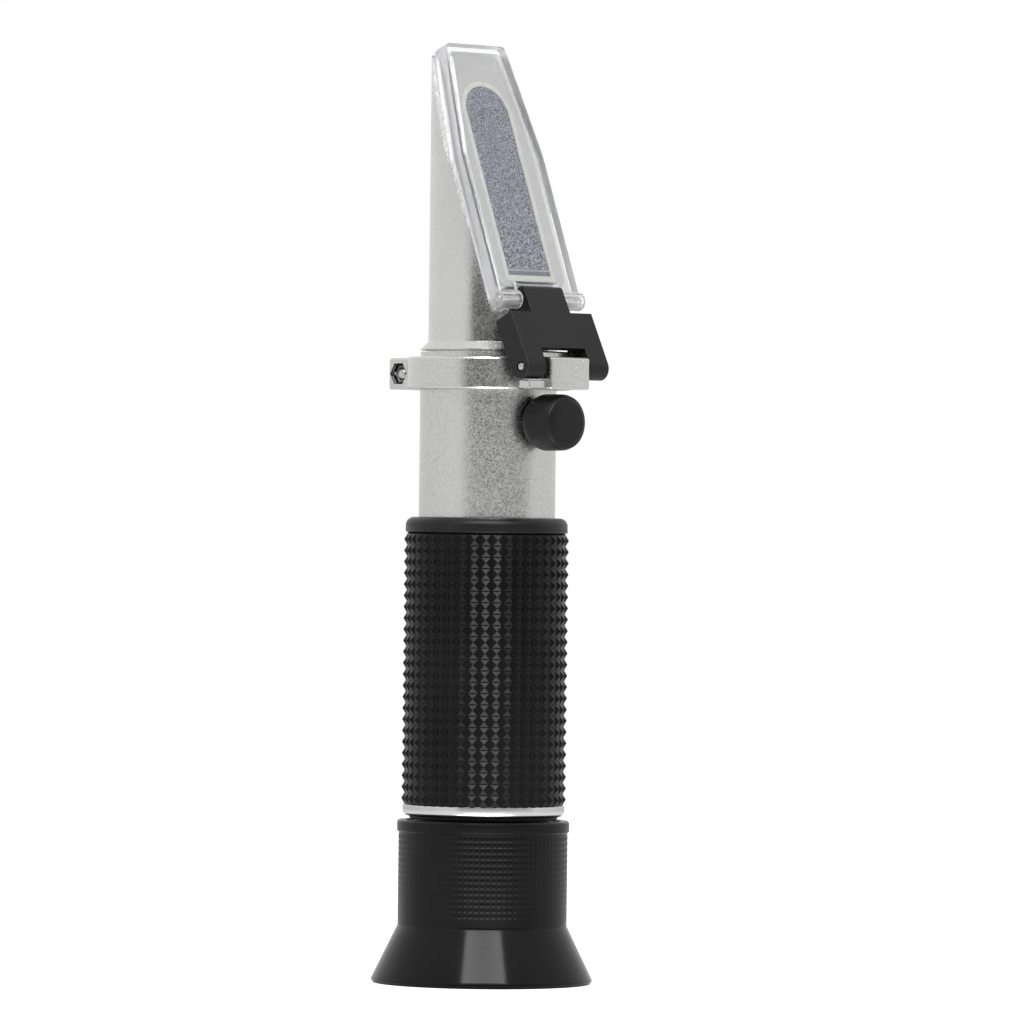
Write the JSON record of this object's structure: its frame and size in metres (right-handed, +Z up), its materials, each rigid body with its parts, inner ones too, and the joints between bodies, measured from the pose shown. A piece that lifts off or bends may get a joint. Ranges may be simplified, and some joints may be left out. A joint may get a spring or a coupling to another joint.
{
  "type": "handheld refractometer",
  "caption": "Handheld brix refractometer on its flared eyecup: slanted prism head under a hinged clear plate, aluminium light tube, black grip, focusing eyepiece.",
  "frame": {"origin": "on the light tube's axis, in the plane of the eyecup's rim that the instrument stands on", "axes": "+Z up along the light tube, +X out of the slanted prism face and the calibration cap, both cover hinges along Y"},
  "size_m": [0.0418, 0.0404, 0.1704],
  "materials": {
    "anodised_aluminium": "satin turned and milled",
    "polished_metal": "polished",
    "screw_steel": "plain turned",
    "brass": "turned",
    "blackened_metal": "matte black",
    "black_bracket": "matte black, fine grain",
    "black_rubber": "matte to satin",
    "clear_plastic": "clear, moulded",
    "optical_glass": "polished",
    "ground_glass": "fine ground measuring face",
    "sealant": "cured cream sealant"
  },
  "bodies": {
    "light_tube": {"main_tube": "anodised_aluminium", "prism_housing": "anodised_aluminium", "prism_frame": "anodised_aluminium", "prism": "ground_glass", "prism_sealant": "sealant", "housing_seal": "black_rubber", "clamp_ring": "anodised_aluminium", "clamp_screw": "screw_steel", "clamp_nut": "screw_steel", "bracket_pin": "screw_steel", "calibration_bush": "brass", "carriage_guide": "blackened_metal", "light_baffle": "blackened_metal", "reticle_holder": "blackened_metal", "reticle": "optical_glass", "reticle_ring": "brass", "grip_collar": "blackened_metal", "grip_sleeve": "black_rubber", "trim_ring": "polished_metal", "eyepiece_tube": "blackened_metal"},
    "bracket": {"cover_bracket": "black_bracket", "plate_pin": "screw_steel"},
    "plate": {"daylight_plate": "clear_plastic"},
    "cap": {"calibration_cap": "black_rubber"},
    "calibration": {"calibration_screw": "brass"},
    "carriage": {"lens_carriage": "blackened_metal", "bimetal_strip": "brass", "strip_screw": "screw_steel", "objective_cell": "blackened_metal", "objective_lens": "optical_glass"},
    "focusing": {"eyecup": "black_rubber", "focus_ring": "blackened_metal"},
    "eyepiece": {"lens_cell": "blackened_metal", "focus_key": "brass", "eye_lens": "optical_glass", "lens_spacer": "blackened_metal", "field_lens": "optical_glass", "lens_retainer": "blackened_metal"}
  },
  "joints": [
    {"name": "cover_swing", "type": "hinge", "parent": "light_tube", "child": "bracket", "pos_m": [0.0183, 0, 0.11155], "axis": [0, 1, 0], "range_deg": [0, 120]},
    {"name": "plate_tilt", "type": "hinge", "parent": "bracket", "child": "plate", "pos_m": [0.01235, 0, 0.12375], "axis": [0, 1, 0], "range_deg": [0, 25]},
    {"name": "cap_pull", "type": "slide", "parent": "light_tube", "child": "cap", "axis": [1, 0, 0], "range_m": [0, 0.012]},
    {"name": "calibration_turn", "type": "hinge", "parent": "light_tube", "child": "calibration", "pos_m": [0.01267, 0, 0.1017], "axis": [1, 0, 0], "range_deg": [-270, 270]},
    {"name": "lens_shift", "type": "slide", "parent": "light_tube", "child": "carriage", "axis": [1, 0, 0], "range_m": [-0.000375, 0.000375]},
    {"name": "focus_turn", "type": "hinge", "parent": "light_tube", "child": "focusing", "pos_m": [0, 0, 0], "axis": [0, 0, 1], "range_deg": [-120, 120]},
    {"name": "focus_travel", "type": "slide", "parent": "light_tube", "child": "eyepiece", "axis": [0, 0, 1], "range_m": [-0.002, 0.002]}
  ],
  "couplings": [
    {"joint": "calibration_turn", "follows": "lens_shift", "rad_per_m": -12566},
    {"joint": "focus_travel", "follows": "focus_turn", "m_per_rad": 0.0009549}
  ]
}
